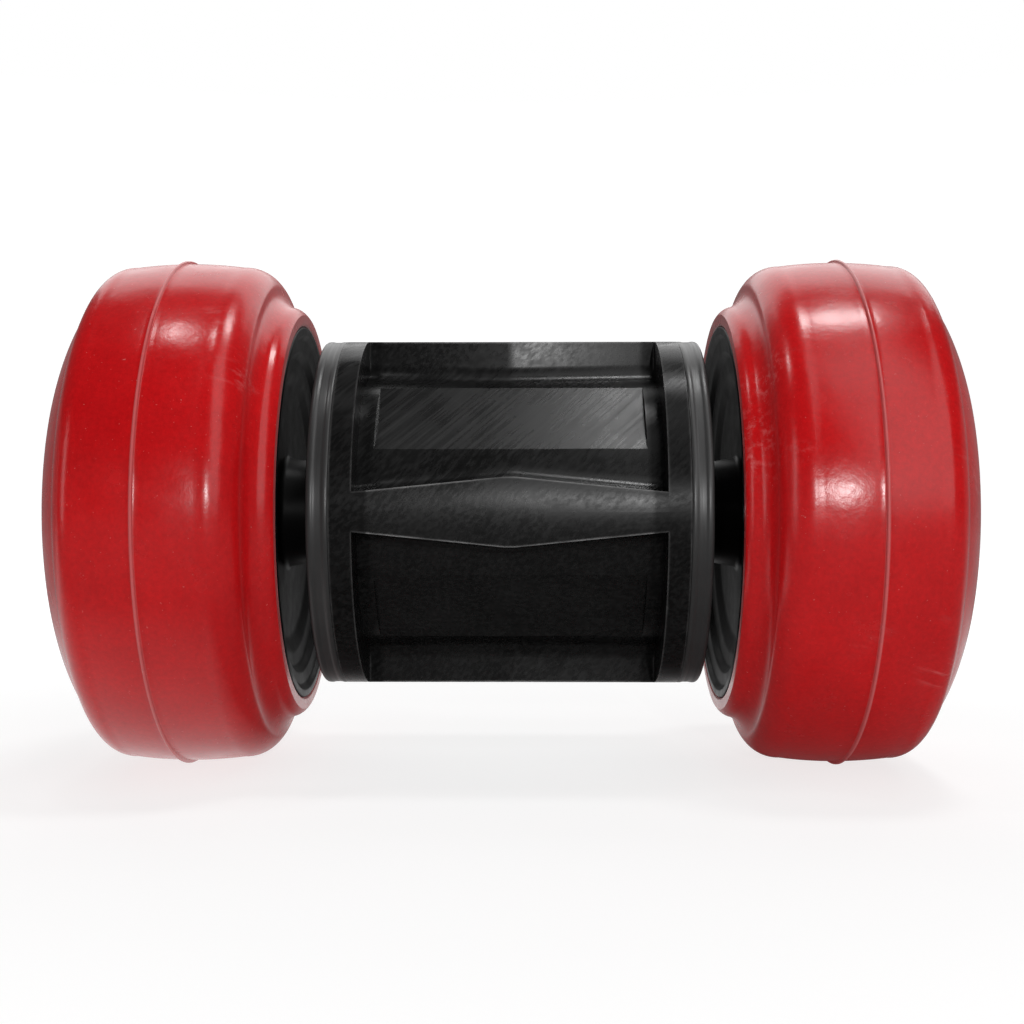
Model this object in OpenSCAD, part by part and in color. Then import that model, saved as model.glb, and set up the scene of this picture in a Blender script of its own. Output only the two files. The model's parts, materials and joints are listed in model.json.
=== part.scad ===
// Bearing diabolo: two rubber cups clamped on one bolt, and a four-ribbed spool
// that turns between them on two ball bearings. The string runs on the spool.
// The axle lies along X, the origin is the middle of the axle, and +Z is up.

/* [Cups] */
// Diameter of a cup's tread, without the mould seam
cup_d = 80; // [66:1:100]
// Width of a cup from its inner lip to its outer rim
cup_w = 33.4; // [30:0.2:42]
// Rubber between the tread and the black hub
rim_wall = 10; // [9:0.5:12]
// Rubber left under the clamp plate
web_t = 3.2; // [2.5:0.1:6]
// Height of the mould seam above the tread
seam_h = 0.5; // [0.2:0.1:1]
// Width of the mould seam
seam_w = 0.6; // [0.4:0.1:1.5]
// Depth of the groove beside the inner lip
groove_sag = 0.5; // [0.2:0.1:1.2]

/* [Hubs] */
// Depth of the hub from its rim to its back face
hub_w = 5.7; // [4.8:0.1:8]
// Thickness of the hub's floor
hub_floor_t = 2.4; // [1.5:0.1:3]
// Radius of the boss that meets the hub spacer
boss_r = 8; // [7:0.5:10]

/* [Spool] */
// Diameter over the ribs and end flanges
spool_d = 55.2; // [44:0.2:68]
// Length of the open pockets between the end flanges
pocket_len = 45.8; // [38:0.2:60]
// Thickness of each end flange
flange_t = 3.4; // [2.4:0.1:6]
// Diameter of the round core
core_d = 43.2; // [38:0.2:48]
// Width of the core across the flats between its ribs
core_flats = 40.8; // [36:0.2:46]
// Length of those flats
flat_len = 41; // [30:0.5:56]
// Rib thickness at the middle of the spool
rib_mid_t = 10.2; // [6:0.2:14]
// Rib thickness at the flanges
rib_end_t = 5.8; // [3:0.2:8]

/* [Collars] */
// Thickness of each grey collar
collar_t = 3.3; // [2:0.1:6]
// Gap between a collar and the rim of its hub
collar_gap = 3.7; // [1:0.1:6]
// Radius on the edges of a collar
collar_edge = 0.7; // [0.3:0.1:1]

/* [Bearings] */
// Bore of each ball bearing, which is the axle's diameter
bearing_bore = 8; // [6:1:9]
// Outer diameter of each ball bearing
bearing_od = 22; // [21:0.5:27]
// Width of each ball bearing
bearing_w = 7; // [6.4:0.1:9]
// Diameter of a bearing ball
ball_d = 3.96; // [3.2:0.01:4.3]
// Number of balls in each bearing
ball_count = 7; // [5:1:7]

/* [Fasteners] */
// Thickness of the steel clamp plates
plate_t = 1.5; // [1:0.1:3]
// Diameter of the washers
washer_d = 16; // [14:0.5:20]
// Thickness of the washers
washer_t = 1.6; // [1:0.1:2.5]
// Width of the bolt head and nut across their flats
hex_flats = 13; // [11.5:0.5:16]
// Height of the bolt head
head_h = 5.3; // [4:0.1:7]
// Height of the lock nut
nut_h = 8; // [6:0.1:9]
// Length of thread that shows past the lock nut
thread_out = 1.4; // [0.8:0.1:2]

/* [Clearances] */
// Radial gap between a hub and the rubber round it
seat_fit = 0.05; // [0.05:0.05:0.2]
// Radial gap of the pieces clamped on the axle
axle_fit = 0.1; // [0.05:0.05:0.3]
// Radial gap of a ball in its races
race_fit = 0.06; // [0.03:0.01:0.1]
// Gap between pieces that turn past each other inside the spool
turn_gap = 0.45; // [0.3:0.05:1]

/* [Hidden] */
$fn = 96;

rubber_red = [0.75, 0.07, 0.09];
hub_black = [0.05, 0.05, 0.05];
spool_black = [0.14, 0.14, 0.14];
collar_grey = [0.33, 0.33, 0.33];
steel = [0.72, 0.73, 0.75];
nylon_white = [0.90, 0.90, 0.86];
cage_brass = [0.75, 0.60, 0.30];

// Radii that follow from the diameters
cup_r = cup_d / 2;
hub_r = cup_r - rim_wall;
spool_r = spool_d / 2;
axle_r = bearing_bore / 2;
bore_r = axle_r + axle_fit;
ball_r = ball_d / 2;
bearing_r = bearing_od / 2;

// Places along the axle, from the middle outwards
pocket_x = pocket_len / 2;
core_x = pocket_x + flange_t;
bearing_x = core_x - bearing_w;
collar_x = core_x + collar_t;
hub_x = collar_x + collar_gap;
web_x = hub_x + hub_w;
plate_x = web_x + web_t;
washer_x = plate_x + plate_t;
clamp_x = washer_x + washer_t;
nut_x = clamp_x + nut_h;
bolt_x = nut_x + thread_out;

// Bearing section: the balls run midway between the bore and the outer diameter
pitch_r = (axle_r + bearing_r) / 2;
race_r = ball_r + race_fit;
land_in_r = pitch_r - 0.72 * race_r;
land_out_r = pitch_r + 0.72 * race_r;
shield_t = 0.5;
shield_seat = 0.45;
shield_in = 0.3;
race_x = core_x - bearing_w / 2;
ring_bore_r = axle_r + 0.02;

// Spacers and the hole through the spool
spacer_wall = 1.9;
spacer_r = axle_r + spacer_wall;
core_bore_r = spacer_r + 2;
collar_bore_r = bearing_r - 1.6;

// Cup outline: steps [radial, axial] from one named point to the next
crown = 0.55;
lip_round = 0.5;
lip_flat = 1.4;
lip_run = 1.4;
groove_step = [3.2, 2.1];
shoulder_step = [3.1, 5];
shoulder_sag = 0.9;
edge_step = [3.1, 4];
edge_sag = 1;
face_step = [6, 3.5];
face_sag = 0.25;
rim_flat = 1.7;
mouth_step = [1.4, 1.5];
mouth_sag = 0.35;
bowl_draft = 3.3;
bowl_fillet = 3.6;
bowl_fillet_sag = 1;

seat_r = hub_r + seat_fit;
lip_x = hub_x + lip_round;
tread_r = cup_r - crown;
rim_x = hub_x + cup_w;
groove_out = [tread_r - shoulder_step[0], lip_x + lip_run + groove_step[1]];
groove_in = groove_out - groove_step;
tread_in = groove_out + shoulder_step;
edge_out = [tread_r - edge_step[0], rim_x - face_step[1]];
tread_out = edge_out + [edge_step[0], -edge_step[1]];
seam_x = (tread_in[1] + tread_out[1]) / 2 + 0.5;
rim_r = edge_out[0] - face_step[0];
mouth = [rim_r - rim_flat - mouth_step[0], rim_x - mouth_step[1]];
bowl_foot = [mouth[0] - bowl_draft, plate_x + bowl_fillet];
bowl_r = bowl_foot[0] - bowl_fillet;
plate_r = bowl_r - 4;

// Nylon ring of the lock nut
insert_h = 1.8;
insert_r = axle_r + 1.4;
nut_body_h = nut_h - insert_h - 0.2;

// Hub outline: steps of the dish, from the rim inwards
rim_edge = 0.4;
rim_crest = 0.6;
dish_steps = [[0.8, 0.7], [2.2, 0.3], [0.8, 1], [2.4, 0.3], [1.4, 1]];

// Round stretch from p to q that bulges by s to the right of the way from p to q
function bow(p, q, s, n = 8) =
    let (c = norm(q - p) / 2, r = (c * c + s * s) / (2 * abs(s)), d = (q - p) / (2 * c))
    let (side = sign(s) * [d[1], -d[0]], centre = (p + q) / 2 - side * (r - abs(s)), a = asin(c / r))
    [for (i = [0:n]) let (t = a * (2 * i / n - 1)) centre + r * cos(t) * side + r * sin(t) * d];

// Running sums of a list of steps
function chain(start, steps, i = 0) =
    i == len(steps) ? [start] : concat([start], chain(start + steps[i], steps, i + 1));

// Turns an outline of [radius, place along the axle] points about the axle
module turned(points) {
    rotate([0, 90, 0])
        rotate_extrude()
            polygon(points);
}

// Round bar about the axle from x0 to x1
module bar(r, x0, x1, sides = 96) {
    translate([x0, 0, 0])
        rotate([0, 90, 0])
            cylinder(r = r, h = x1 - x0, $fn = sides);
}

// Plain ring about the axle from x0 to x1
module ring(r_out, r_in, x0, x1) {
    turned([[r_in, x0], [r_out, x0], [r_out, x1], [r_in, x1]]);
}

// Turned ring whose outer edges are broken by a chamfer
module chamfered_ring(r_out, r_in, x0, x1, c) {
    turned([[r_in, x0], [r_out - c, x0], [r_out, x0 + c], [r_out, x1 - c], [r_out - c, x1], [r_in, x1]]);
}

// Hexagon prism about the axle with its outer corners turned off
module hexagon(x0, x1, c) {
    corner_r = hex_flats / 2 / cos(30);
    intersection() {
        bar(corner_r, x0, x1, 6);
        turned([[0, x0], [corner_r, x0], [corner_r, x1 - c / 2], [corner_r - c, x1], [0, x1]]);
    }
}

module left() {
    mirror([1, 0, 0])
        children();
}

// Rubber cup: lip, groove, tread with a mould seam, rounded rim and an open bowl
module cup() {
    color(rubber_red) {
        turned(concat(
            [[bore_r, web_x], [seat_r, web_x]],
            bow([seat_r, lip_x], [seat_r + lip_round, hub_x], 0.15, 4),
            bow([seat_r + lip_round + lip_flat, hub_x], groove_in, 0.2, 4),
            bow(groove_in, groove_out, -groove_sag),
            bow(groove_out, tread_in, shoulder_sag),
            bow(tread_in, tread_out, crown, 12),
            bow(tread_out, edge_out, edge_sag),
            bow(edge_out, [rim_r, rim_x], face_sag),
            bow([rim_r - rim_flat, rim_x], mouth, mouth_sag, 5),
            bow(bowl_foot, [bowl_r, plate_x], -bowl_fillet_sag),
            [[bore_r, plate_x]]));
        turned([[cup_r - 2, seam_x - seam_w], [cup_r - 0.05, seam_x - seam_w / 2 - 0.2],
            [cup_r + seam_h, seam_x - seam_w / 4], [cup_r + seam_h, seam_x + seam_w / 4],
            [cup_r - 0.05, seam_x + seam_w / 2 + 0.2], [cup_r - 2, seam_x + seam_w]]);
    }
}

// Dished black hub that fills the inner side of a cup
module hub() {
    floor_x = web_x - hub_floor_t;
    steps = [for (s = dish_steps) [-s[0], s[1]]];
    dish = chain([hub_r - rim_edge - rim_crest, hub_x], steps);
    color(hub_black)
        turned(concat(
            [[bore_r, web_x], [bore_r, collar_x + collar_gap / 2]],
            [[boss_r, collar_x + collar_gap / 2], [boss_r + 1, floor_x]],
            [[dish[len(dish) - 1][0] - 0.8, floor_x]],
            [for (i = [len(dish) - 1:-1:0]) dish[i]],
            [[hub_r - rim_edge, hub_x], [hub_r, hub_x + rim_edge], [hub_r, web_x]]));
}

// Steel plate that clamps the cup's web to the hub, with a pressed rim
module clamp_plate() {
    color(steel)
        turned([[bore_r, plate_x], [plate_r, plate_x], [plate_r, plate_x + plate_t * 0.6],
            [plate_r - 0.6, plate_x + plate_t], [bore_r, plate_x + plate_t]]);
}

// Long bolt that holds both cups, the spacers and the bearings' inner rings
module axle_bolt() {
    color(steel) {
        left()
            hexagon(clamp_x, clamp_x + head_h, 0.8);
        turned([[0, -clamp_x - 1], [axle_r, -clamp_x - 1], [axle_r, bolt_x - 0.8], [axle_r - 0.8, bolt_x],
            [0, bolt_x]]);
    }
}

// The two plain washers, one under the head and one under the nut
module washers() {
    color(steel) {
        chamfered_ring(washer_d / 2, bore_r, washer_x, clamp_x, 0.3);
        left()
            chamfered_ring(washer_d / 2, bore_r, washer_x, clamp_x, 0.3);
    }
}

// Lock nut: a hexagon with a round crown that holds the nylon ring
module lock_nut() {
    crown_r = hex_flats / 2 - 0.5;
    color(steel)
        difference() {
            union() {
                hexagon(clamp_x, clamp_x + nut_body_h, 0.8);
                turned([[0, clamp_x + 1], [crown_r, clamp_x + 1], [crown_r, nut_x - 0.5], [crown_r - 0.6, nut_x],
                    [0, nut_x]]);
            }
            bar(axle_r, clamp_x - 1, nut_x + 1);
            bar(insert_r, nut_x - insert_h, nut_x + 1);
        }
}

// Nylon ring that grips the thread
module nut_insert() {
    color(nylon_white)
        ring(insert_r, axle_r, nut_x - insert_h, nut_x - 0.3);
}

// Sleeve between a hub's boss and a bearing's inner ring
module hub_spacer() {
    color(steel)
        chamfered_ring(spacer_r, bore_r, core_x, collar_x + collar_gap / 2, 0.3);
}

// Sleeve that keeps the two inner rings apart
module inner_spacer() {
    color(steel)
        ring(spacer_r, bore_r, -bearing_x, bearing_x);
}

// Groove that the balls run in, the same for both rings
module ball_groove() {
    translate([race_x, 0, 0])
        rotate([0, 90, 0])
            rotate_extrude()
                translate([pitch_r, 0])
                    circle(r = race_r, $fn = 48);
}

module inner_ring() {
    color(steel)
        difference() {
            chamfered_ring(land_in_r, ring_bore_r, bearing_x, core_x, 0.2);
            ball_groove();
        }
}

module outer_ring() {
    seat = land_out_r + shield_seat;
    depth = shield_in + shield_t;
    color(steel)
        difference() {
            turned([[seat, bearing_x], [bearing_r, bearing_x], [bearing_r, core_x], [seat, core_x],
                [seat, core_x - depth], [land_out_r, core_x - depth], [land_out_r, bearing_x + depth],
                [seat, bearing_x + depth]]);
            ball_groove();
        }
}

// The two thin shields that close a bearing
module shields() {
    hole_r = land_in_r + turn_gap;
    seat = land_out_r + shield_seat;
    color(steel)
        for (x = [bearing_x + shield_in, core_x - shield_in - shield_t])
            ring(seat, hole_r, x, x + shield_t);
}

module balls() {
    color(steel)
        for (i = [0:ball_count - 1])
            rotate([360 / ball_count * i, 0, 0])
                translate([race_x, 0, pitch_r])
                    sphere(r = ball_r, $fn = 48);
}

// Ring that keeps the balls apart, with a round pocket for each
module cage() {
    cage_t = 0.9;
    cage_x = ball_r + 0.35;
    color(cage_brass)
        difference() {
            ring(pitch_r + cage_t / 2, pitch_r - cage_t / 2, race_x - cage_x, race_x + cage_x);
            for (i = [0:ball_count - 1])
                rotate([360 / ball_count * i, 0, 0])
                    translate([race_x, 0, pitch_r - ball_r])
                        cylinder(r = ball_r + race_fit, h = 2 * ball_r);
        }
}

// Rib across the whole spool, thickest at the middle
module rib_pair() {
    a = rib_mid_t / 2;
    b = rib_end_t / 2;
    flat = 0.8;
    translate([0, 0, -spool_r])
        linear_extrude(2 * spool_r)
            polygon([[-pocket_x, -b], [-flat, -a], [flat, -a], [pocket_x, -b],
                [pocket_x, b], [flat, a], [-flat, a], [-pocket_x, b]]);
}

// Round core with a flat between each two ribs
module core_bar() {
    difference() {
        bar(core_d / 2, -pocket_x, pocket_x);
        for (i = [0:3])
            rotate([45 + 90 * i, 0, 0])
                translate([-flat_len / 2, -core_d / 2, core_flats / 2])
                    cube([flat_len, core_d, core_d]);
    }
}

// Ribbed spool with a bearing seat in each end
module spool_core() {
    color(spool_black)
        difference() {
            union() {
                intersection() {
                    bar(spool_r, -pocket_x, pocket_x);
                    union() {
                        core_bar();
                        rib_pair();
                        rotate([90, 0, 0])
                            rib_pair();
                    }
                }
                bar(spool_r, -core_x, -pocket_x);
                bar(spool_r, pocket_x, core_x);
            }
            bar(core_bore_r, -core_x - 1, core_x + 1);
            bar(bearing_r, bearing_x, core_x + 1);
            bar(bearing_r, -core_x - 1, -bearing_x);
        }
}

// Grey collar that closes the bearing seat, with rounded edges
module collar() {
    e = collar_edge;
    color(collar_grey)
        turned(concat(
            [[collar_bore_r, core_x]],
            bow([spool_r - e, core_x], [spool_r, core_x + e], e * 0.29, 4),
            bow([spool_r, collar_x - e], [spool_r - e, collar_x], e * 0.29, 4),
            [[collar_bore_r, collar_x]]));
}

left() cup();  // cup_left
cup();  // cup_right
left() hub();  // hub_left
hub();  // hub_right
left() clamp_plate();  // clamp_plate_left
clamp_plate();  // clamp_plate_right
axle_bolt();
washers();
lock_nut();
nut_insert();
left() hub_spacer();  // hub_spacer_left
hub_spacer();  // hub_spacer_right
inner_spacer();
left() inner_ring();  // inner_ring_left
inner_ring();  // inner_ring_right
spool_core();
left() collar();  // collar_left
collar();  // collar_right
left() outer_ring();  // outer_ring_left
outer_ring();  // outer_ring_right
left() shields();  // shields_left
shields();  // shields_right
left() balls();  // balls_left
balls();  // balls_right
left() cage();  // cage_left
cage();  // cage_right
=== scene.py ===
# %% [markdown]
# # A bearing diabolo, piece by piece
# This lesson dresses a juggling diabolo that has already been engineered: two red rubber cups with black
# hubs, and a black ribbed spool with grey collars that turns between them. The engineering model gives
# the places and the outer sizes. Here each piece that shows from outside is modelled again with finer edges,
# and the rubber, the plastics and the inner metals get a finish. Everything is in metres, and the axle lies
# along X through the origin.

# %% Load the engineered frame
import json
import math
import bpy
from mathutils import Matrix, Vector


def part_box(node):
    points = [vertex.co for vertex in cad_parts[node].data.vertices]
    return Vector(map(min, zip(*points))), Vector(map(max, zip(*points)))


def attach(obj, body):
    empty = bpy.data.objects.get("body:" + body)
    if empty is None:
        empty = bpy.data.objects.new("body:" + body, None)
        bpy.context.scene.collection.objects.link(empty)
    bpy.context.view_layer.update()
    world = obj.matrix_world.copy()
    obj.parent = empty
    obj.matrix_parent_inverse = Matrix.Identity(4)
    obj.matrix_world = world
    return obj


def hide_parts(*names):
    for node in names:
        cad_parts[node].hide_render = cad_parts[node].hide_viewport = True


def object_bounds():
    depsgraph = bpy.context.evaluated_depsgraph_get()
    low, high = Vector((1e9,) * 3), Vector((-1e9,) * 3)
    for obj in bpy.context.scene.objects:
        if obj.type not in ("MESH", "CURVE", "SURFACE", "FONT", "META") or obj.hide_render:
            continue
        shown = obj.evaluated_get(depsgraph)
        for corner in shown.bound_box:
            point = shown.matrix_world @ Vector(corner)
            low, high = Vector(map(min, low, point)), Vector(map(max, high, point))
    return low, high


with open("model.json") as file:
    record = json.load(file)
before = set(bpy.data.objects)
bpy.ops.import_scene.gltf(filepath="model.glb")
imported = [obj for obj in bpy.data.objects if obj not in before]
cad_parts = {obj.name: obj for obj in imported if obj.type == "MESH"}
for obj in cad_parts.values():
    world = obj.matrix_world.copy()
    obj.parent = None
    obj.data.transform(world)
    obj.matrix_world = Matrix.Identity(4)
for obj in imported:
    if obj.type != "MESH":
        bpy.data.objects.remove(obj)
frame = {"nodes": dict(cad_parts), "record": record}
cad_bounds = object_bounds()
MM = 0.001
print("nodes:", len(frame["nodes"]))

# %% [markdown]
# ## Sizes
# A modeller measures before cutting. The box round each engineered node gives the outer radii and the main
# places along the axle. Sizes that no box shows, such as a rib's width, are given.

# %% Measure the frame


def span(node):
    """Inner end, outer end and radius of a right-hand node that turns about X."""
    low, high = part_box(node)
    return low.x, high.x, high.y


hub_x, rim_x, seam_top_r = span("cup_right")
boss_x, web_x, hub_r = span("hub_right")
core_x, collar_x, spool_r = span("collar_right")
plate_x, washer_x, plate_r = span("clamp_plate_right")
spacer_r = span("hub_spacer_right")[2]
bearing_r = span("outer_ring_right")[2]
clamp_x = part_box("lock_nut")[0].x
nut_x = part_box("lock_nut")[1].x
bolt_low, bolt_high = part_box("axle_bolt")
hex_flats = 2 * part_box("lock_nut")[1].y
washer_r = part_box("washers")[1].y
seam_h = 0.5 * MM
cup_r = seam_top_r - seam_h
axle_r = 4 * MM
bore_r = axle_r + 0.1 * MM
print(f"cup radius {cup_r / MM:.1f} mm, half length {rim_x / MM:.1f} mm")
print(f"spool radius {spool_r / MM:.1f} mm")

# %% [markdown]
# ## The camera
# The camera comes first, because it decides what has to look right. It stands level with the axle, close
# enough for the rims to bend, and a little to the right of the middle. A lens of about 50 mm fits.

# %% Place the camera
camera_place = Vector((2.9 * MM, -231.2 * MM, 0))
camera_data = bpy.data.cameras.new("camera")
camera_data.lens = 49.75
camera_data.sensor_width = 36
camera_data.clip_start = 0.01
camera = bpy.data.objects.new("camera", camera_data)
bpy.context.scene.collection.objects.link(camera)
camera.location = camera_place
camera.rotation_euler = (-camera_place).to_track_quat("-Z", "Y").to_euler()
bpy.context.scene.camera = camera
print("camera", tuple(round(c, 4) for c in camera.location))

# %% [markdown]
# ## Round pieces
# Cups, hubs, collars and washers are all turned shapes: one outline, carried round the axle. By hand, one
# would draw the outline point by point with Extrude and then use Spin. The two helpers below do the same:
# `bow` makes a curved stretch of an outline from two ends and a bulge, and `turn` draws and spins it.

# %% Helpers for turned pieces


def start_clean():
    """Leaves edit mode and deselects everything, because operators act on all that is selected."""
    if bpy.context.object and bpy.context.object.mode != "OBJECT":
        bpy.ops.object.mode_set(mode="OBJECT")
    bpy.ops.object.select_all(action="DESELECT")


def make_active(piece):
    """Selects one piece and nothing else."""
    start_clean()
    piece.select_set(True)
    bpy.context.view_layer.objects.active = piece


def bow(start, end, bulge, steps=10):
    """Arc from start to end in (x, radius) points. A positive bulge goes to the left of the way."""
    start, end = Vector(start), Vector(end)
    half = (end - start).length / 2
    radius = (half * half + bulge * bulge) / (2 * abs(bulge))
    along = (end - start).normalized()
    side = Vector((-along.y, along.x)) * math.copysign(1, bulge)
    centre = (start + end) / 2 - side * (radius - abs(bulge))
    turn_angle = math.asin(min(1, half / radius))
    angles = [turn_angle * (2 * i / steps - 1) for i in range(steps + 1)]
    return [centre + side * radius * math.cos(a) + along * radius * math.sin(a) for a in angles]


def rounded(corners, steps=4):
    """Outline through (x, radius, rounding) corners. A corner with a rounding becomes a short curve."""
    points = []
    for i, (x, r, size) in enumerate(corners):
        here = Vector((x, r))
        if size == 0:
            points.append(here)
            continue
        before = (Vector(corners[i - 1][:2]) - here).normalized()
        after = (Vector(corners[(i + 1) % len(corners)][:2]) - here).normalized()
        for k in range(steps + 1):
            t = k / steps
            points.append(here + before * size * (1 - t) ** 2 + after * size * t ** 2)
    return points


def draw(name, places, closed=True):
    """Draws edges through the places, one after another, and stays in edit mode."""
    start_clean()
    bpy.ops.mesh.primitive_plane_add(size=MM)
    piece = bpy.context.object
    piece.name = piece.data.name = name
    bpy.ops.object.mode_set(mode="EDIT")
    bpy.ops.mesh.select_all(action="SELECT")
    bpy.ops.mesh.merge(type="CENTER")
    bpy.ops.transform.translate(value=places[0])
    for here, there in zip(places, places[1:] + ([places[0]] if closed else [])):
        bpy.ops.mesh.extrude_vertices_move(TRANSFORM_OT_translate={"value": there - here})
    bpy.ops.mesh.select_all(action="SELECT")
    bpy.ops.mesh.remove_doubles(threshold=0.001 * MM)
    return piece


def turn(name, outline, steps=192, smooth=28):
    """Draws the outline above the axle and spins it once round X."""
    piece = draw(name, [Vector((p[0], 0, p[1])) for p in outline])
    bpy.ops.mesh.spin(steps=steps, angle=2 * math.pi, center=(0, 0, 0), axis=(1, 0, 0))
    bpy.ops.mesh.select_all(action="SELECT")
    bpy.ops.mesh.remove_doubles(threshold=0.001 * MM)
    bpy.ops.mesh.normals_make_consistent(inside=False)
    bpy.ops.object.mode_set(mode="OBJECT")
    bpy.ops.object.shade_smooth_by_angle(angle=math.radians(smooth))
    print(f"{name}: {len(piece.data.polygons)} faces")
    return piece


def mirrored(piece, name):
    """Copy of a right-hand piece for the left side, with a mesh of its own."""
    make_active(piece)
    bpy.ops.object.duplicate()
    copy = bpy.context.object
    copy.name = copy.data.name = name
    bpy.ops.object.mode_set(mode="EDIT")
    bpy.ops.mesh.select_all(action="SELECT")
    bpy.ops.transform.resize(value=(-1, 1, 1), center_override=(0, 0, 0))
    bpy.ops.mesh.normals_make_consistent(inside=False)
    bpy.ops.object.mode_set(mode="OBJECT")
    return copy


def place(piece, body, slot, *nodes):
    """Fastens a finished piece to its body and lets it stand for engineered nodes."""
    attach(piece, body)
    if nodes:
        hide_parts(*nodes)


# %% [markdown]
# ## The cups
# Each cup is one thick rubber moulding. From the hub outwards its outline has a soft lip, a shallow
# groove, a round shoulder, a slightly crowned tread, a second shoulder and a rim that rolls into an open
# bowl. Where the two halves of the mould met, a thin seam stands up round the tread. Rubber looks soft, so
# the part of the outline that shows is drawn mostly in arcs, and Spin carries it round the axle.

# %% Model the cups
crown_h = 0.55 * MM
rim_flat = 1.7 * MM
tread_r = cup_r - crown_h
lip_corner = (hub_x, hub_r + 0.5 * MM)
groove_in = (hub_x + 1.9 * MM, tread_r - 6.3 * MM)
groove_out = (groove_in[0] + 2.1 * MM, tread_r - 3.1 * MM)
tread_in = (groove_out[0] + 5 * MM, tread_r)
edge_out = (rim_x - 3.5 * MM, tread_r - 3.1 * MM)
tread_out = (edge_out[0] - 4 * MM, tread_r)
rim_out = (rim_x, edge_out[1] - 6 * MM)
rim_in = (rim_x, rim_out[1] - rim_flat)
mouth = (rim_x - 1.5 * MM, rim_in[1] - 1.4 * MM)
bowl_foot = (plate_x + 3.6 * MM, mouth[1] - 3.3 * MM)
bowl_floor = (plate_x, bowl_foot[1] - 3.6 * MM)
seam_x = (tread_in[0] + tread_out[0]) / 2 + 0.5 * MM


def tread_with_seam():
    """Crowned tread, with the thin seam standing on its highest part."""
    crown = bow(tread_in, tread_out, crown_h, 24)
    before = [p for p in crown if p.x < seam_x - 0.7 * MM]
    after = [p for p in crown if p.x > seam_x + 0.7 * MM]
    foot, top = cup_r - 0.02 * MM, cup_r + seam_h
    seam = [(-0.5, foot), (-0.27, foot + 0.06 * MM), (-0.17, top - 0.12 * MM), (-0.05, top)]
    rise = [Vector((seam_x + x * MM, r)) for x, r in seam]
    fall = [Vector((seam_x - x * MM, r)) for x, r in reversed(seam)]
    return before + rise + fall + after


cup_outline = (
    [Vector((web_x, bore_r)), Vector((web_x, hub_r))]
    + bow((hub_x + 0.5 * MM, hub_r), lip_corner, 0.15 * MM, 5)
    + bow((hub_x + 0.05 * MM, hub_r + 1.9 * MM), groove_in, 0.25 * MM, 6)
    + bow(groove_in, groove_out, -0.5 * MM, 12)[1:]
    + bow(groove_out, tread_in, 0.9 * MM, 14)[1:]
    + tread_with_seam()[1:-1]
    + bow(tread_out, edge_out, 1 * MM, 14)
    + bow(edge_out, rim_out, 0.25 * MM, 10)[1:]
    + bow(rim_in, mouth, 0.35 * MM, 8)
    + bow(bowl_foot, bowl_floor, -1 * MM, 12)
    + [Vector((plate_x, bore_r))]
)
cup_right = turn("rubber_cup_right", cup_outline)
cup_left = mirrored(cup_right, "rubber_cup_left")
place(cup_right, "wheelset", "red_rubber", "cup_right")
place(cup_left, "wheelset", "red_rubber", "cup_left")

# %% [markdown]
# ## The hubs
# A hub is a hard black disc that fills the inner side of a cup. It is dished in steps, and a step can catch
# a thin ring of light, so its corners have a small rounding.

# %% Model the hubs
hub_floor_x = web_x - 2.4 * MM
hub_corners = [
    (web_x, bore_r, 0),
    (boss_x, bore_r, 0.3 * MM),
    (boss_x, 8 * MM, 0.6 * MM),
    (hub_floor_x, 9 * MM, 0.8 * MM),
    (hub_floor_x, hub_r - 9.4 * MM, 0.6 * MM),
    (hub_x + 2.3 * MM, hub_r - 7.2 * MM, 0.4 * MM),
    (hub_x + 2.0 * MM, hub_r - 4.9 * MM, 0.3 * MM),
    (hub_x + 1.0 * MM, hub_r - 4.0 * MM, 0.3 * MM),
    (hub_x + 0.7 * MM, hub_r - 1.9 * MM, 0.3 * MM),
    (hub_x, hub_r - 1.2 * MM, 0.25 * MM),
    (hub_x, hub_r, 0.3 * MM),
    (web_x, hub_r, 0),
]
hub_right = turn("dished_hub_right", rounded(hub_corners))
hub_left = mirrored(hub_right, "dished_hub_left")
place(hub_right, "wheelset", "black_gloss", "hub_right")
place(hub_left, "wheelset", "black_gloss", "hub_left")

# %% [markdown]
# ## The collars
# A grey collar closes each end of the spool. Its outside is a smooth band between two slightly raised,
# rounded edges, so the light runs softly round it and draws a fine line near each edge.

# %% Model the collars
collar_bore_r = bearing_r - 1.6 * MM
band = 0.1 * MM
collar_corners = [
    (core_x, collar_bore_r, 0.2 * MM),
    (core_x, spool_r, 0.35 * MM),
    (core_x + 0.7 * MM, spool_r, 0.2 * MM),
    (core_x + 1.0 * MM, spool_r - band, 0.2 * MM),
    (collar_x - 1.2 * MM, spool_r - band, 0.2 * MM),
    (collar_x - 0.9 * MM, spool_r, 0.2 * MM),
    (collar_x, spool_r, 0.6 * MM),
    (collar_x, collar_bore_r, 0.4 * MM),
]
collar_right = turn("end_collar_right", rounded(collar_corners))
collar_left = mirrored(collar_right, "end_collar_left")
place(collar_right, "spool", "grey_moulding", "collar_right")
place(collar_left, "spool", "grey_moulding", "collar_left")

# %% [markdown]
# ## The spool
# The spool is a hard moulding: a round core with four ribs, which are thickest at the middle and flow into
# the core with a small hollow curve, and a flat between each two ribs. The core with its ribs is drawn as
# four outlines along the axle and bridged, the way a boat's hull is lofted. Boolean modifiers then mill the
# flats, add the end flanges and bore the bearing seats, and a Bevel modifier breaks the sharp edges, which
# is what makes hard plastic catch the light.

# %% Helpers for hard shapes


def use(piece, kind, **settings):
    """Adds a modifier, sets it and applies it."""
    make_active(piece)
    modifier = piece.modifiers.new(kind.lower(), kind)
    for key, value in settings.items():
        setattr(modifier, key, value)
    bpy.ops.object.modifier_apply(modifier=modifier.name)


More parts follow.
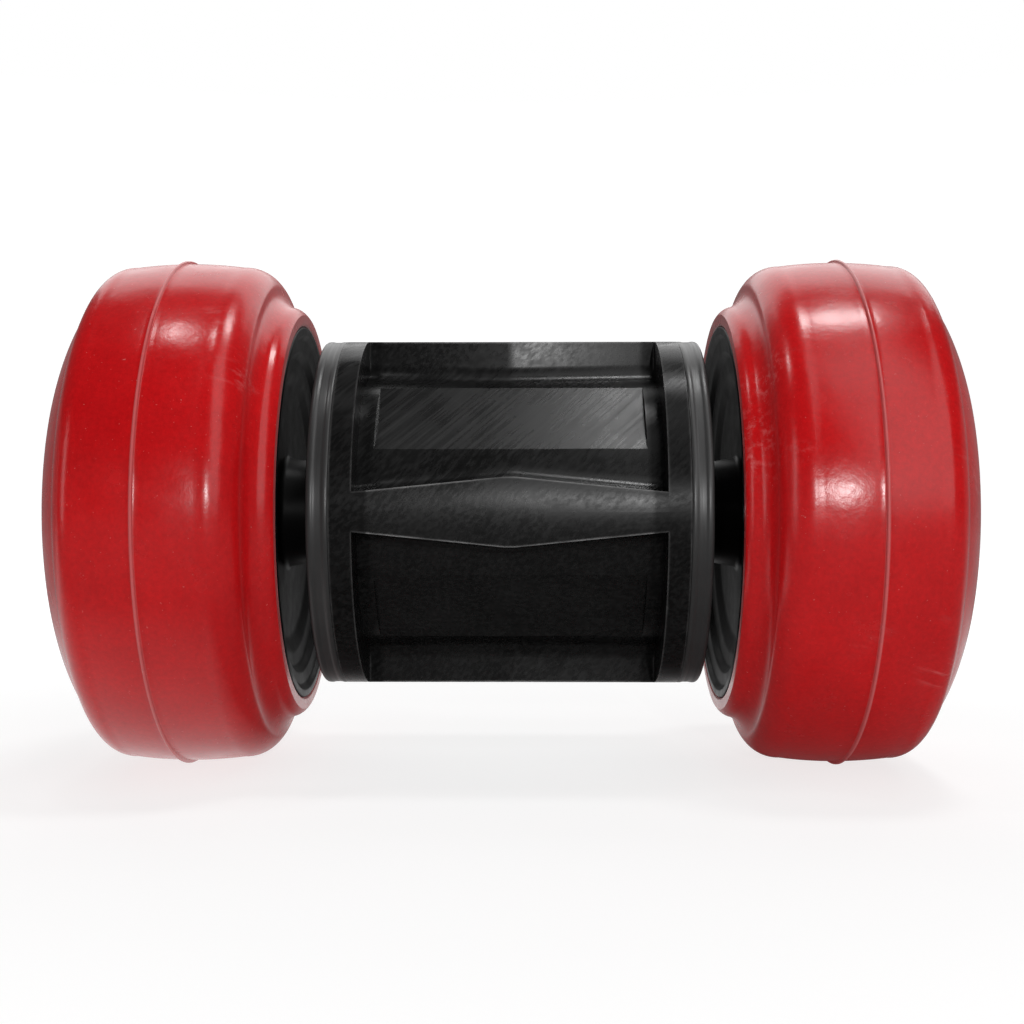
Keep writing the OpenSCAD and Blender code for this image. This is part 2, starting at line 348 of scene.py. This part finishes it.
def combine(piece, tool, operation):
    """Joins, trims or cuts piece with tool, and deletes the tool."""
    use(piece, "BOOLEAN", object=tool, operation=operation, solver="EXACT")
    bpy.data.objects.remove(tool)


def break_edges(piece, width, smooth=18):
    """Bevels the sharp edges of a hard piece, then shades its round parts smooth."""
    use(piece, "BEVEL", width=width, segments=3, limit_method="ANGLE", angle_limit=math.radians(16))
    make_active(piece)
    bpy.ops.object.shade_smooth_by_angle(angle=math.radians(smooth))
    print(f"{piece.name}: {len(piece.data.polygons)} faces")


def round_bar(radius, x0, x1, vertices=256):
    """Round bar along X, finished at the origin."""
    start_clean()
    middle = ((x0 + x1) / 2, 0, 0)
    bpy.ops.mesh.primitive_cylinder_add(
        vertices=vertices, radius=radius, depth=x1 - x0, location=middle, rotation=(0, math.pi / 2, 0)
    )
    bpy.ops.object.transform_apply(location=True, rotation=True, scale=True)
    return bpy.context.object


def arc(centre, radius, start, end, steps):
    """Arc in the (y, z) plane. Angles are in radians from +Z towards +Y."""
    angles = [start + (end - start) * i / steps for i in range(steps + 1)]
    return [centre + radius * Vector((math.sin(a), math.cos(a))) for a in angles]


# %% Draw the spool's outlines
flange_t = 3.4 * MM
pocket_x = core_x - flange_t
core_r = 21.6 * MM
flat_reach = 20.4 * MM
flat_half_length = 20.5 * MM
rib_mid = 5.1 * MM
rib_end = 2.9 * MM
rib_crest_x = 0.8 * MM
fillet_r = 3 * MM


def quarter(rib_half):
    """Quarter of the outline, from the middle of one rib's top to the middle of the next one's."""
    axis = Vector((0, 0))
    tip = math.asin(rib_half / spool_r)
    side = rib_half + fillet_r
    lean = math.asin(side / (core_r + fillet_r))
    hollow = Vector((side, (core_r + fillet_r) * math.cos(lean)))
    top = arc(axis, spool_r, 0, tip, 4)
    fillet = arc(hollow, fillet_r, 3 * math.pi / 2, math.pi + lean, 7)
    core = arc(axis, core_r, lean, math.pi / 4, 7)
    half = top + fillet + core[1:]
    return half + [Vector((p.y, p.x)) for p in reversed(half[1:-1])]


def outline_at(x, rib_half):
    """Closed outline of the ribbed core at one place along the axle."""
    points = []
    for turned in range(4):
        c, s = round(math.cos(turned * math.pi / 2)), round(math.sin(turned * math.pi / 2))
        points += [Vector((x, c * p.x + s * p.y, c * p.y - s * p.x)) for p in quarter(rib_half)]
    return points


def select_places(piece, wanted):
    """In edit mode, selects only the vertices whose place passes the test."""
    bpy.ops.mesh.select_mode(type="VERT")
    bpy.ops.mesh.select_all(action="DESELECT")
    bpy.ops.object.mode_set(mode="OBJECT")
    for vertex in piece.data.vertices:
        vertex.select = wanted(vertex.co)
    bpy.ops.object.mode_set(mode="EDIT")


# %% Loft the ribbed core
stations = [(-pocket_x, rib_end), (-rib_crest_x, rib_mid), (rib_crest_x, rib_mid), (pocket_x, rib_end)]
outlines = [draw("ribbed_spool", outline_at(x, rib_half)) for x, rib_half in stations]
start_clean()
for outline in outlines:
    outline.select_set(True)
spool = outlines[0]
bpy.context.view_layer.objects.active = spool
bpy.ops.object.join()
spool.name = spool.data.name = "ribbed_spool"
bpy.ops.object.mode_set(mode="EDIT")
near = 0.01 * MM
for (x0, _), (x1, _) in zip(stations, stations[1:]):
    select_places(spool, lambda co: min(abs(co.x - x0), abs(co.x - x1)) < near)
    bpy.ops.mesh.bridge_edge_loops()
for x, _ in (stations[0], stations[-1]):
    select_places(spool, lambda co: abs(co.x - x) < near)
    bpy.ops.mesh.edge_face_add()
bpy.ops.mesh.select_all(action="SELECT")
bpy.ops.mesh.normals_make_consistent(inside=False)
bpy.ops.object.mode_set(mode="OBJECT")
print("ribbed core:", len(spool.data.polygons), "faces")

# %% Mill the flats, add the flanges and bore the seats
bearing_w = 7 * MM
tunnel_r = spacer_r + 2 * MM


def milling_block(turned):
    """Block that lies on one flat of the core, turned about the axle."""
    start_clean()
    bpy.ops.mesh.primitive_cube_add(size=2)
    block = bpy.context.object
    bpy.ops.object.mode_set(mode="EDIT")
    bpy.ops.transform.resize(value=(flat_half_length, 9 * MM, 2 * MM))
    bpy.ops.transform.translate(value=(0, 0, flat_reach + 2 * MM))
    bpy.ops.transform.rotate(value=turned, orient_axis="X", center_override=(0, 0, 0))
    bpy.ops.object.mode_set(mode="OBJECT")
    return block


for i in range(4):
    combine(spool, milling_block(math.pi / 4 + i * math.pi / 2), "DIFFERENCE")
for side in (-1, 1):
    ends = sorted((side * pocket_x, side * core_x))
    combine(spool, round_bar(spool_r, ends[0], ends[1]), "UNION")
combine(spool, round_bar(tunnel_r, -core_x - MM, core_x + MM, 96), "DIFFERENCE")
for side in (-1, 1):
    seat = sorted((side * (core_x - bearing_w), side * (core_x + MM)))
    combine(spool, round_bar(bearing_r, seat[0], seat[1], 128), "DIFFERENCE")
break_edges(spool, 0.25 * MM)
place(spool, "spool", "black_moulding", "spool_core")

# %% [markdown]
# ## The bolt and what it clamps
# One long bolt runs through the whole toy. In each open bowl it presses a steel plate against the rubber,
# under a washer and a hexagon. A hexagon on a real bolt has its corners turned off, so a ring with a
# slanted inside is cut from it, and the end of the bolt shows the crests of its thread.

# %% Model the clamp plates and washers
plate_corners = [
    (plate_x, bore_r, 0),
    (washer_x, bore_r, 0.15 * MM),
    (washer_x, washer_r + 1.2 * MM, 0.3 * MM),
    (washer_x - 0.4 * MM, washer_r + 1.9 * MM, 0.3 * MM),
    (washer_x - 0.4 * MM, plate_r - 2.6 * MM, 0.3 * MM),
    (washer_x, plate_r - 1.9 * MM, 0.3 * MM),
    (washer_x, plate_r - 0.3 * MM, 0.25 * MM),
    (plate_x + 0.6 * MM, plate_r, 0.3 * MM),
    (plate_x, plate_r, 0),
]
plate_right = turn("clamp_disc_right", rounded(plate_corners), 128)
plate_left = mirrored(plate_right, "clamp_disc_left")
place(plate_right, "wheelset", "plated_steel", "clamp_plate_right")
place(plate_left, "wheelset", "plated_steel", "clamp_plate_left")

washer_corners = [
    (washer_x, bore_r, 0.1 * MM),
    (clamp_x, bore_r, 0.15 * MM),
    (clamp_x, washer_r, 0.35 * MM),
    (washer_x, washer_r, 0.2 * MM),
]
washers = turn("bolt_washers", rounded(washer_corners), 128)
washer_left = mirrored(washers, "washer_left")
make_active(washers)
washer_left.select_set(True)
bpy.ops.object.join()
place(washers, "wheelset", "plated_steel", "washers")

# %% Model the bolt and the lock nut
thread_pitch = 1.25 * MM
thread_depth = 0.6 * MM
crests = 4
collar_h = 2 * MM
corner_r = hex_flats / 2 / math.cos(math.pi / 6)
turned_r = hex_flats / 2 - 0.5 * MM


def hexagon(x0, x1):
    """Hexagon bar with two corners on the Z axis."""
    bar = round_bar(corner_r, x0, x1, 6)
    make_active(bar)
    bpy.ops.object.mode_set(mode="EDIT")
    bpy.ops.mesh.select_all(action="SELECT")
    bpy.ops.transform.rotate(value=math.pi / 6, orient_axis="X", center_override=(0, 0, 0))
    bpy.ops.object.mode_set(mode="OBJECT")
    return bar


def cut_ring(piece, outline):
    """Cuts a turned ring from a piece."""
    combine(piece, turn("cutter", outline, 96), "DIFFERENCE")


def turn_corners_off(piece, end_x, outwards):
    """Chamfers the corners of a hexagon at one end; outwards is 1 or -1."""
    beyond = end_x + outwards * 0.2 * MM
    slant = [(end_x - outwards * 0.9 * MM, corner_r + 0.2 * MM), (beyond, turned_r)]
    cut_ring(piece, slant + [(beyond, corner_r + MM)])


bolt = hexagon(bolt_low.x, -clamp_x)
bolt.name = bolt.data.name = "long_bolt"
turn_corners_off(bolt, bolt_low.x, -1)
combine(bolt, round_bar(axle_r - 0.02 * MM, -clamp_x - MM, bolt_high.x, 96), "UNION")
outside_r = axle_r + 0.1 * MM
half_groove = 0.55 * MM
for i in range(crests):
    root = bolt_high.x - 0.95 * MM - i * thread_pitch
    sides = [(root - half_groove, outside_r), (root + half_groove, outside_r)]
    cut_ring(bolt, [sides[0], (root, axle_r - thread_depth), sides[1]])
beyond = bolt_high.x + 0.1 * MM
point = [(bolt_high.x - 0.7 * MM, outside_r), (beyond, axle_r - 0.8 * MM), (beyond, axle_r + MM)]
cut_ring(bolt, point)
break_edges(bolt, 0.12 * MM)
place(bolt, "wheelset", "plated_steel", "axle_bolt")

nut = hexagon(clamp_x, nut_x - collar_h)
nut.name = nut.data.name = "nylon_lock_nut"
turn_corners_off(nut, nut_x - collar_h, 1)
combine(nut, round_bar(turned_r, clamp_x + MM, nut_x, 96), "UNION")
combine(nut, round_bar(axle_r, clamp_x - MM, nut_x + MM, 96), "DIFFERENCE")
combine(nut, round_bar(axle_r + 1.4 * MM, nut_x - 1.8 * MM, nut_x + MM, 96), "DIFFERENCE")
break_edges(nut, 0.2 * MM)
place(nut, "wheelset", "plated_steel", "lock_nut")

# %% [markdown]
# ## Finishes
# Every finish is a small node tree. Moulded rubber and plastic are never one flat colour: they have a
# faint mottling, fine grain, dust and handling marks. Patterns read the piece's own coordinates, so they
# stay on the piece when it turns.

# %% Helper for node trees


class Finish:
    """A material with a Principled shader, and short calls that add nodes to it."""

    def __init__(self, name, **sockets):
        self.material = bpy.data.materials.new(name)
        self.material.use_nodes = True
        self.tree = self.material.node_tree
        self.shader = self.tree.nodes["Principled BSDF"]
        for socket, value in sockets.items():
            self.shader.inputs[socket.replace("_", " ")].default_value = value
        self.where = self.tree.nodes.new("ShaderNodeTexCoord").outputs["Object"]

    def node(self, kind, links=None, **settings):
        made = self.tree.nodes.new(kind)
        for key, value in settings.items():
            setattr(made, key, value)
        for socket, source in (links or {}).items():
            if isinstance(source, bpy.types.NodeSocket):
                self.tree.links.new(source, made.inputs[socket])
            else:
                made.inputs[socket].default_value = source
        return made

    def noise(self, scale, detail=4, rough=0.6, where=None):
        links = {"Vector": where or self.where, "Scale": scale, "Detail": detail, "Roughness": rough}
        return self.node("ShaderNodeTexNoise", links).outputs["Fac"]

    def vector(self, operation, links):
        return self.node("ShaderNodeVectorMath", links, operation=operation).outputs

    def stretch(self, scale):
        """Coordinates stretched unevenly, for lathe lines and brushed metal."""
        links = {"Vector": self.where, "Scale": scale}
        return self.node("ShaderNodeMapping", links).outputs["Vector"]

    def along(self, direction, fine, coarse):
        """Coordinates that change fast across a direction and slowly along it, for scratches."""
        axis = Vector(direction).normalized()
        side = axis.orthogonal().normalized()
        parts = []
        for way, scale in ((axis, coarse), (side, fine), (axis.cross(side), fine)):
            parts.append(self.vector("DOT_PRODUCT", {0: self.where, 1: way * scale})["Value"])
        return self.node("ShaderNodeCombineXYZ", dict(enumerate(parts))).outputs["Vector"]

    def place(self):
        """How far a point is from the middle along the axle, and how far out from the axle."""
        x = self.node("ShaderNodeSeparateXYZ", {0: self.where}).outputs["X"]
        across = self.vector("MULTIPLY", {0: self.where, 1: (0, 1, 1)})["Vector"]
        return self.math("ABSOLUTE", x, 0), self.vector("LENGTH", {0: across})["Value"]

    def steps(self, value, low, high, to_low=0, to_high=1):
        """Spreads the part of a value between low and high over a new range."""
        links = {0: value, 1: low, 2: high, 3: to_low, 4: to_high}
        return self.node("ShaderNodeMapRange", links).outputs[0]

    def mix(self, factor, a, b):
        """Goes from colour a to colour b as the factor goes from 0 to 1."""
        made = self.node("ShaderNodeMix", {0: factor, 6: a, 7: b}, data_type="RGBA")
        return made.outputs[2]

    def grey(self, factor, dark, pale):
        """Goes from a dark grey to a pale one as the factor goes from 0 to 1."""
        return self.mix(factor, (dark, dark, dark, 1), (pale, pale, pale, 1))

    def shade(self, colour, factor):
        """Makes a colour darker or lighter by a factor."""
        return self.vector("SCALE", {0: colour, "Scale": factor})["Vector"]

    def math(self, operation, a, b):
        return self.node("ShaderNodeMath", {0: a, 1: b}, operation=operation).outputs[0]

    def bump(self, height, distance, strength=1, after=None):
        links = {"Height": height, "Distance": distance, "Strength": strength}
        if after is not None:
            links["Normal"] = after
        return self.node("ShaderNodeBump", links).outputs["Normal"]

    def wire(self, **sockets):
        """Links outputs to the shader's sockets."""
        for socket, source in sockets.items():
            self.tree.links.new(source, self.shader.inputs[socket.replace("_", " ")])

    def coat(self, *pieces):
        """Gives pieces this finish and no other."""
        for piece in pieces:
            piece.data.materials.clear()
            piece.data.materials.append(self.material)


# %% [markdown]
# ### Red rubber
# Soft red rubber is satin, not mirror bright. Its colour drifts slightly over the casting, pale dust sits
# in tiny specks, and a fine grain breaks up the highlights. The seam is rubbed paler than the tread round
# it. A little sheen gives the pale edge that a dusty rubber surface shows where it turns away.

# %% Red rubber
rubber = Finish("red_rubber", Specular_IOR_Level=0.4, Sheen_Weight=0.09, Sheen_Roughness=0.35)
rubber.shader.inputs["Sheen Tint"].default_value = (1, 0.82, 0.82, 1)
drift = rubber.steps(rubber.noise(45, 5), 0.35, 0.7)
red = rubber.mix(drift, (0.50, 0.004, 0.006, 1), (0.61, 0.007, 0.009, 1))
speckle = rubber.steps(rubber.noise(1500, 3, 0.7), 0.3, 0.7, 0.86, 1.08)
red = rubber.shade(red, speckle)
dust = rubber.steps(rubber.noise(2600, 2, 0.5), 0.72, 0.77)
red = rubber.mix(rubber.math("MULTIPLY", dust, 0.3), red, (0.75, 0.35, 0.33, 1))
scuff_area = rubber.steps(rubber.noise(38, 2), 0.60, 0.68)
streaks = rubber.along((1, 0.4, -0.3), 900, 60)
scuff_lines = rubber.steps(rubber.noise(1, 3, 0.7, streaks), 0.50, 0.66)
scuffs = rubber.math("MULTIPLY", scuff_area, scuff_lines)
red = rubber.mix(rubber.math("MULTIPLY", scuffs, 0.16), red, (0.80, 0.42, 0.42, 1))
along, out = rubber.place()
from_seam = rubber.math("ABSOLUTE", rubber.math("SUBTRACT", along, seam_x), 0)
seam_line = rubber.steps(from_seam, 0.15 * MM, 0.40 * MM, 0.3, 0)
on_tread = rubber.steps(out, cup_r - 0.6 * MM, cup_r - 0.3 * MM)
red = rubber.mix(rubber.math("MULTIPLY", seam_line, on_tread), red, (0.80, 0.38, 0.38, 1))
grain = rubber.bump(rubber.noise(900, 4), 0.05 * MM, 0.5)
waves = rubber.bump(rubber.noise(60, 3), 0.3 * MM, 0.35, grain)
rubber.wire(
    Base_Color=red,
    Roughness=rubber.steps(rubber.noise(160, 6), 0.3, 0.75, 0.19, 0.30),
    Normal=waves,
)
rubber.coat(cup_left, cup_right)
print("red rubber on both cups")

# %% [markdown]
# ### Black plastics
# The hub is a deep black. The spool is a satin black with fine slanting scratches from handling, best seen
# where a flat mirrors the light. A pale grey is painted in patches along the edges of its ribs as a
# highlight:
# a Bevel node finds the edges, as its rounded normal turns away from the true one there. The flanges are
# duller than the middle. The collars are a lighter grey with faint lathe lines.

# %% Hub, spool and collar plastic
gloss = Finish("hub_black", Specular_IOR_Level=0.08)
gloss.wire(
    Base_Color=gloss.grey(gloss.noise(200), 0.002, 0.005),
    Roughness=gloss.steps(gloss.noise(300, 5), 0.3, 0.7, 0.32, 0.42),
    Normal=gloss.bump(gloss.noise(500, 3), 0.02 * MM, 0.4),
)
gloss.coat(hub_left, hub_right)

satin = Finish("spool_black")
slant = satin.along((1, 0.9, 0.9), 1700, 45)
marks = satin.steps(satin.noise(1, 3, 0.6, slant), 0.42, 0.72)
black = satin.grey(satin.steps(satin.noise(140, 5), 0.35, 0.7), 0.003, 0.007)
black = satin.mix(satin.math("MULTIPLY", marks, 0.08), black, (0.10, 0.10, 0.10, 1))
smears = satin.steps(satin.noise(90, 4), 0.35, 0.65, 0.0, 0.08)
along, out = satin.place()
# Painted highlight: a pale grey laid in patches along the rib and flange edges, where the edges would catch
# light.
rounded_normal = satin.node("ShaderNodeBevel", {"Radius": 0.55 * MM}, samples=6).outputs["Normal"]
true_normal = satin.node("ShaderNodeNewGeometry").outputs["True Normal"]
same_way = satin.vector("DOT_PRODUCT", {0: rounded_normal, 1: true_normal})["Value"]
at_edge = satin.steps(same_way, 0.90, 0.985, 1, 0)
off_core = satin.steps(out, 23 * MM, 23.5 * MM)
less_on_flange = satin.steps(along, 20.6 * MM, 20.9 * MM, 1, 0.25)
patchy = satin.steps(satin.noise(220, 4), 0.35, 0.6, 0.35, 1)
painted_edge_highlight = satin.math("MULTIPLY", at_edge, off_core)
painted_edge_highlight = satin.math("MULTIPLY", painted_edge_highlight, less_on_flange)
painted_edge_highlight = satin.math("MULTIPLY", painted_edge_highlight, patchy)
satin.wire(
    # The pale grey mixed in here is the painted highlight along the rib edges.
    Base_Color=satin.mix(painted_edge_highlight, black, (0.22, 0.22, 0.22, 1)),
    Specular_IOR_Level=satin.steps(along, 20.4 * MM, 21.2 * MM, 0.28, 0.12),
    Roughness=satin.math("ADD", satin.steps(marks, 0, 1, 0.22, 0.31), smears),
    Normal=satin.bump(satin.math("SUBTRACT", satin.noise(1100, 3), marks), 0.006 * MM, 0.4),
)
satin.coat(spool)

grey = Finish("collar_grey", Specular_IOR_Level=0.5)
lathe = grey.noise(1, 3, 0.6, grey.stretch((3000, 60, 60)))
grey.wire(
    Base_Color=grey.grey(grey.noise(180, 5), 0.022, 0.034),
    Roughness=grey.steps(lathe, 0.3, 0.7, 0.30, 0.42),
    Normal=grey.bump(lathe, 0.015 * MM, 0.4),
)
grey.coat(collar_left, collar_right)
print("black and grey plastics done")

# %% [markdown]
# ### Metals and nylon
# Zinc plate is pale, slightly blue and softly brushed. Bearing steel is brighter and smoother. The loop
# below gives these finishes to engineered nodes, so among the pieces that show, the spacers, the bearings
# and the nylon insert have them. The plates, washers, bolt and nut modelled above are left without a
# finish, and render in Blender's plain grey. Zinc would suit them.

# %% Metals and nylon


def metal(name, dark, pale, rough_low, rough_high):
    made = Finish(name, Metallic=1)
    lines = made.noise(1, 3, 0.6, made.stretch((2500, 200, 200)))
    made.wire(
        Base_Color=made.mix(made.noise(400, 4), dark, pale),
        Roughness=made.steps(lines, 0.3, 0.7, rough_low, rough_high),
        Normal=made.bump(lines, 0.01 * MM, 0.4),
    )
    return made


zinc = metal("zinc_plate", (0.50, 0.51, 0.53, 1), (0.66, 0.67, 0.70, 1), 0.24, 0.40)
ball_steel = metal("bearing_steel", (0.55, 0.56, 0.58, 1), (0.68, 0.69, 0.71, 1), 0.12, 0.22)
brass = metal("cage_brass", (0.55, 0.38, 0.14, 1), (0.68, 0.50, 0.22, 1), 0.22, 0.36)
nylon = Finish("nylon", Roughness=0.45)
nylon.wire(Base_Color=nylon.mix(nylon.noise(300), (0.72, 0.72, 0.66, 1), (0.82, 0.82, 0.77, 1)))

finish_of_slot = {"plated_steel": zinc, "bearing_steel": ball_steel, "cage_brass": brass, "nylon": nylon}
for part in frame["record"]["subparts"]:
    if part["material_slot"] in finish_of_slot:
        finish_of_slot[part["material_slot"]].coat(frame["nodes"][part["node"]])
print("metals on the inner pieces")

# %% [markdown]
# ## Floor and light
# The diabolo rests on a plain pale floor that curves up all round, so that no horizon shows. The floor
# glows by itself, with a strength for each kind of ray. What the camera sees stays evenly pale. What the
# toy mirrors is pale only close by and beside the left cup, so that black plastic stays black. A weak glow
# fills the shadows.
#
# A tall soft panel stands on the right and leans over the toy. It draws the long highlights. A wide light
# behind paints the pale upper edges, one high up shines on the spool's upper flat, and a narrow one on the
# left lifts the lips. A small lamp over the left cup and one beside the camera make the bright points. The
# rest of the room is dark.

# %% Make the curved floor
floor_r = 1.6
bend_r = 0.8
bend_steps = 10
under = (0, 0, cad_bounds[0][2])
start_clean()
bpy.ops.mesh.primitive_circle_add(vertices=96, radius=floor_r, fill_type="NGON", location=under)
floor = bpy.context.object
floor.name = "curved_floor"
bpy.ops.object.mode_set(mode="EDIT")
bpy.ops.mesh.select_mode(type="EDGE")
bpy.ops.mesh.select_all(action="SELECT")
for i in range(bend_steps):
    before, after = (k / bend_steps * math.pi / 2 for k in (i, i + 1))
    rise = bend_r * (math.cos(before) - math.cos(after))
    wider = (floor_r + bend_r * math.sin(after)) / (floor_r + bend_r * math.sin(before))
    bpy.ops.mesh.extrude_edges_move(TRANSFORM_OT_translate={"value": (0, 0, rise)})
    bpy.ops.transform.resize(value=(wider, wider, 1), center_override=(0, 0, 0))
bpy.ops.object.mode_set(mode="OBJECT")
bpy.ops.object.shade_smooth_by_angle(angle=math.radians(30))
print("floor", tuple(round(d, 2) for d in floor.dimensions))

# %% Give the floor its glow
pale = Finish("floor_pale", Roughness=0.9, Specular_IOR_Level=0.1, Emission_Color=(1, 1, 1, 1))
distance = pale.vector("LENGTH", {0: pale.where})["Value"]
floor_place = pale.node("ShaderNodeSeparateXYZ", {0: pale.where}).outputs
rays = pale.node("ShaderNodeLightPath").outputs
seen_glow = pale.steps(distance, 0.10, 0.45, 0.76, 1.0)
close_by = pale.steps(distance, 0.10, 0.25, 0.8, 0.14)
behind = pale.math("MULTIPLY", pale.steps(floor_place["Y"], 0.0, 0.05), close_by)
under_left_cup = pale.steps(floor_place["X"], -0.045, -0.032, 0.9, 0)
left_patch = pale.math("MULTIPLY", under_left_cup, pale.steps(floor_place["Y"], -0.07, -0.03))
left_patch = pale.math("MULTIPLY", left_patch, pale.steps(floor_place["Y"], 0.03, 0.05, 1, 0))
mirrored_glow = pale.math("MAXIMUM", behind, left_patch)
glow = pale.math("MULTIPLY", rays["Is Diffuse Ray"], 0.36)
for ray, strength in (("Is Glossy Ray", mirrored_glow), ("Is Camera Ray", seen_glow)):
    glow = pale.math("ADD", glow, pale.math("MULTIPLY", strength, rays[ray]))
pale.wire(Base_Color=pale.grey(pale.noise(3, 2), 0.28, 0.30), Emission_Strength=glow)
pale.coat(floor)
print("floor nodes:", len(pale.tree.nodes))

# %% Set the lights


def soft_light(name, place_at, size, power):
    """Rectangular area light, wide by tall, that faces the middle of the axle and isn't seen itself."""
    data = bpy.data.lights.new(name, "AREA")
    data.shape = "RECTANGLE"
    data.size, data.size_y = size
    data.energy = power
    light = bpy.data.objects.new(name, data)
    bpy.context.scene.collection.objects.link(light)
    light.location = place_at
    light.rotation_euler = (-Vector(place_at)).to_track_quat("-Z", "Y").to_euler()
    light.visible_camera = False


soft_light("panel", (0.33, -0.58, 0.50), (0.42, 1.20), 2.6)
soft_light("back", (0.05, 0.90, 0.80), (1.6, 0.9), 7)
soft_light("glow", (0.20, 0.06, 1.05), (0.16, 0.24), 2.6)
soft_light("lamp", (-0.068, -0.0387, 0.1516), (0.012, 0.012), 0.019)
soft_light("left", (-0.55, -0.35, 0.10), (0.12, 0.45), 0.45)
soft_light("front", (0.095, -0.9, 0.138), (0.02, 0.02), 1.8)

# %% Set the room
world = bpy.data.worlds.new("room")
bpy.context.scene.world = world
world.use_nodes = True
room = world.node_tree
seen = room.nodes.new("ShaderNodeLightPath").outputs["Is Camera Ray"]
tone = room.nodes.new("ShaderNodeMix")
tone.data_type = "RGBA"
factor, in_the_dark, for_the_camera = tone.inputs[0], tone.inputs[6], tone.inputs[7]
in_the_dark.default_value = (0.04, 0.04, 0.04, 1)
for_the_camera.default_value = (1, 1, 1, 1)
room.links.new(seen, factor)
room.links.new(tone.outputs[2], room.nodes["Background"].inputs["Color"])
bpy.context.scene.view_settings.view_transform = "Standard"
print("room ready")
